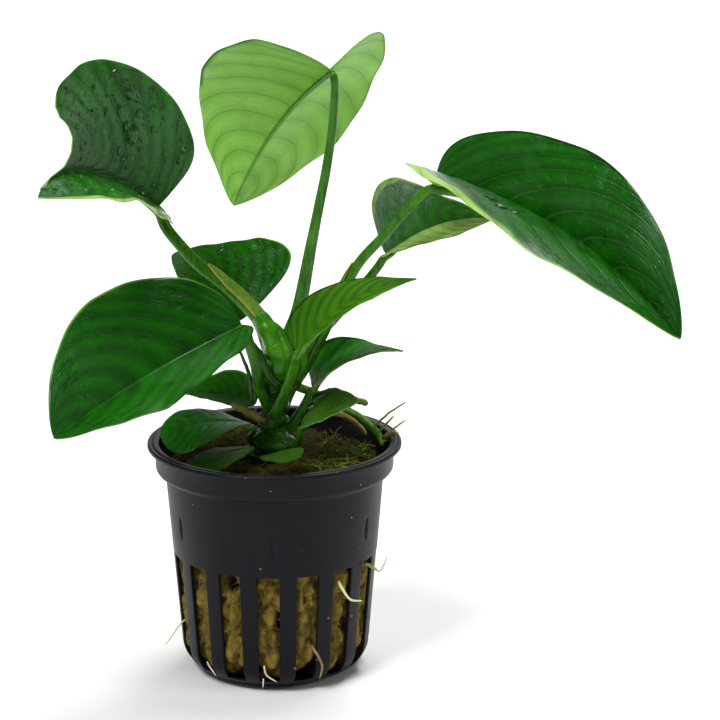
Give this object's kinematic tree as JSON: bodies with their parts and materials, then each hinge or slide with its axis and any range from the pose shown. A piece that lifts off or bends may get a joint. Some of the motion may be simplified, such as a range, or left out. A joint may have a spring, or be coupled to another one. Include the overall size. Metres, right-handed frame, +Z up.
{
  "type": "anubias plant in a net pot",
  "caption": "Aquarium anubias with broad waxy leaves on a ringed rhizome, rooted in mineral wool in a slotted black net pot.",
  "frame": {"origin": "centre of the pot's underside, on the surface the pot stands on", "axes": "+Z up along the pot's axis; +X towards the largest, outward-leaning leaf; -Y is the side the plant is usually seen from"},
  "size_m": [0.1271, 0.099, 0.1373],
  "materials": {
    "pot_plastic": "injection-moulded semi-gloss polypropylene",
    "mineral_wool": "wet mineral wool fibre",
    "rhizome_skin": "ringed green bark, waxy",
    "leaf_dark": "waxy wet leaf, dark upper face",
    "leaf_pale": "waxy leaf, pale green",
    "stalk_green": "smooth waxy stalk",
    "root_green": "fresh green root skin",
    "root_pale": "pale root skin",
    "root_brown": "dry brown root or bract skin"
  },
  "bodies": {
    "root": {"aerial_root": "root_green", "base_root_1": "root_pale", "base_root_2": "root_pale", "base_root_3": "root_pale", "base_root_4": "root_brown", "blade_A": "leaf_dark", "blade_B": "leaf_pale", "blade_C": "leaf_dark", "blade_D": "leaf_dark", "blade_E": "leaf_pale", "blade_F": "leaf_dark", "blade_G": "leaf_dark", "blade_H": "leaf_dark", "blade_I": "leaf_dark", "blade_J": "leaf_dark", "blade_K": "leaf_dark", "blade_L": "leaf_dark", "blade_M": "leaf_dark", "blade_N": "leaf_dark", "bract": "root_brown", "inner_root": "root_green", "pot": "pot_plastic", "rhizome": "rhizome_skin", "rim_root": "root_brown", "root_stub": "root_green", "rootlet_1": "root_pale", "rootlet_2": "root_pale", "rootlet_3": "root_pale", "rootlet_4": "root_pale", "slot_fork": "root_pale", "slot_root_left": "root_pale", "slot_root_right": "root_pale", "slot_shoot": "root_green", "stalk_A": "stalk_green", "stalk_B": "stalk_green", "stalk_C": "stalk_green", "stalk_D": "stalk_green", "stalk_E": "stalk_green", "stalk_F": "stalk_green", "stalk_G": "stalk_green", "stalk_H": "stalk_green", "stalk_J": "stalk_green", "stalk_M": "stalk_green", "stalk_N": "stalk_green", "withered_stalk": "root_brown", "wool": "mineral_wool"}
  },
  "joints": []
}
